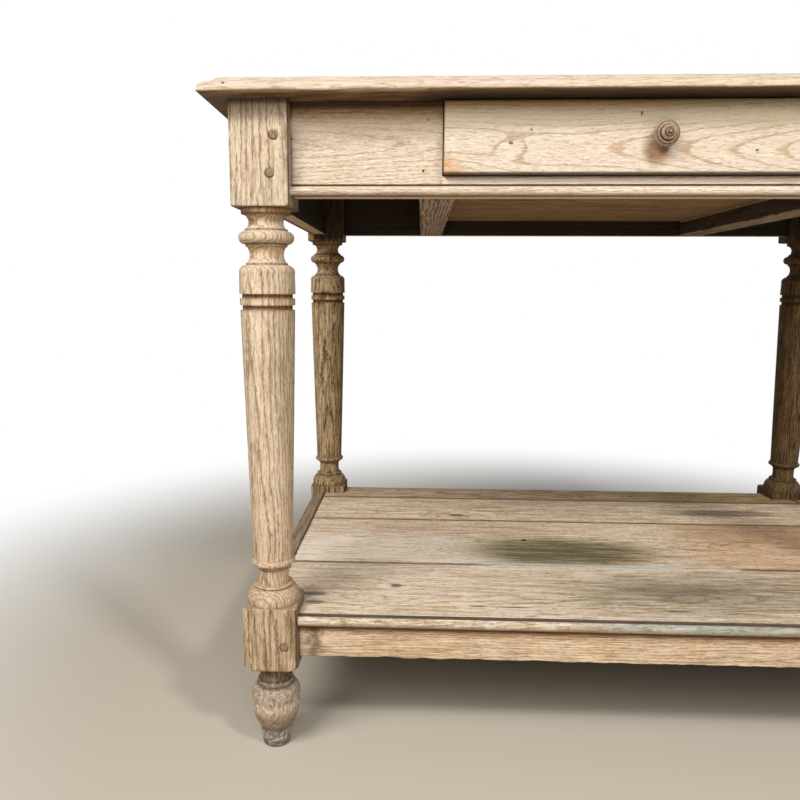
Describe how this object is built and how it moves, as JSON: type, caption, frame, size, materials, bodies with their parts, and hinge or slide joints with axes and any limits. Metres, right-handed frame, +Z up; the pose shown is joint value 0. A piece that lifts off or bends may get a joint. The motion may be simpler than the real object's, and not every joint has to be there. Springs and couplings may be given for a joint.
{
  "type": "work table with drawer and shelf",
  "caption": "Long rectangular oak work table with turned legs, a moulded planked top, a drawer in the front rail and a low planked shelf.",
  "frame": {"origin": "on the floor under the middle of the top", "axes": "+X along the table to the right, -Y out of the front where the drawer opens, +Z up"},
  "size_m": [1.085, 0.721, 0.86],
  "materials": {
    "leg_oak": "weathered bare oak, turned",
    "peg_oak": "darker end grain of oak pegs",
    "moulding_oak": "weathered bare oak, planed",
    "apron_oak": "weathered bare oak, planed",
    "stretcher_oak": "weathered bare oak, planed",
    "shelf_oak": "weathered bare oak, stained and worn",
    "screw_steel": "dull steel",
    "top_oak": "weathered bare oak, planed",
    "drawer_front_oak": "weathered bare oak, planed",
    "knob_oak": "grey brown turned oak",
    "drawer_box_oak": "bare oak, aged brown",
    "inner_oak": "rough bare oak, dark with age"
  },
  "bodies": {
    "table": {"leg_front_left": "leg_oak", "leg_front_right": "leg_oak", "leg_back_left": "leg_oak", "leg_back_right": "leg_oak", "apron_front": "apron_oak", "apron_back": "apron_oak", "apron_left": "apron_oak", "apron_right": "apron_oak", "apron_moulding_front": "moulding_oak", "apron_moulding_left": "moulding_oak", "apron_moulding_right": "moulding_oak", "apron_pegs": "peg_oak", "stretcher_front": "stretcher_oak", "stretcher_back": "stretcher_oak", "stretcher_left": "stretcher_oak", "stretcher_right": "stretcher_oak", "stretcher_pegs": "peg_oak", "shelf_board_front": "shelf_oak", "shelf_board_middle": "shelf_oak", "shelf_board_rear": "shelf_oak", "shelf_board_back_strip": "shelf_oak", "shelf_ledge_left": "inner_oak", "shelf_ledge_right": "inner_oak", "shelf_bearer": "inner_oak", "shelf_screws": "screw_steel", "top_board_front": "top_oak", "top_board_mid_front": "top_oak", "top_board_mid_back": "top_oak", "top_board_back": "top_oak", "top_glue_blocks": "inner_oak", "runner_left": "inner_oak", "runner_right": "inner_oak", "runner_guide_left": "inner_oak", "runner_guide_right": "inner_oak", "drawer_stops": "inner_oak"},
    "drawer": {"drawer_front": "drawer_front_oak", "drawer_side_left": "drawer_box_oak", "drawer_side_right": "drawer_box_oak", "drawer_back": "drawer_box_oak", "drawer_bottom_front": "drawer_box_oak", "drawer_bottom_middle": "drawer_box_oak", "drawer_bottom_rear": "drawer_box_oak", "drawer_knob": "knob_oak"}
  },
  "joints": [
    {"name": "drawer_slide", "type": "slide", "parent": "table", "child": "drawer", "axis": [0, -1, 0], "range_m": [0, 0.4]}
  ]
}
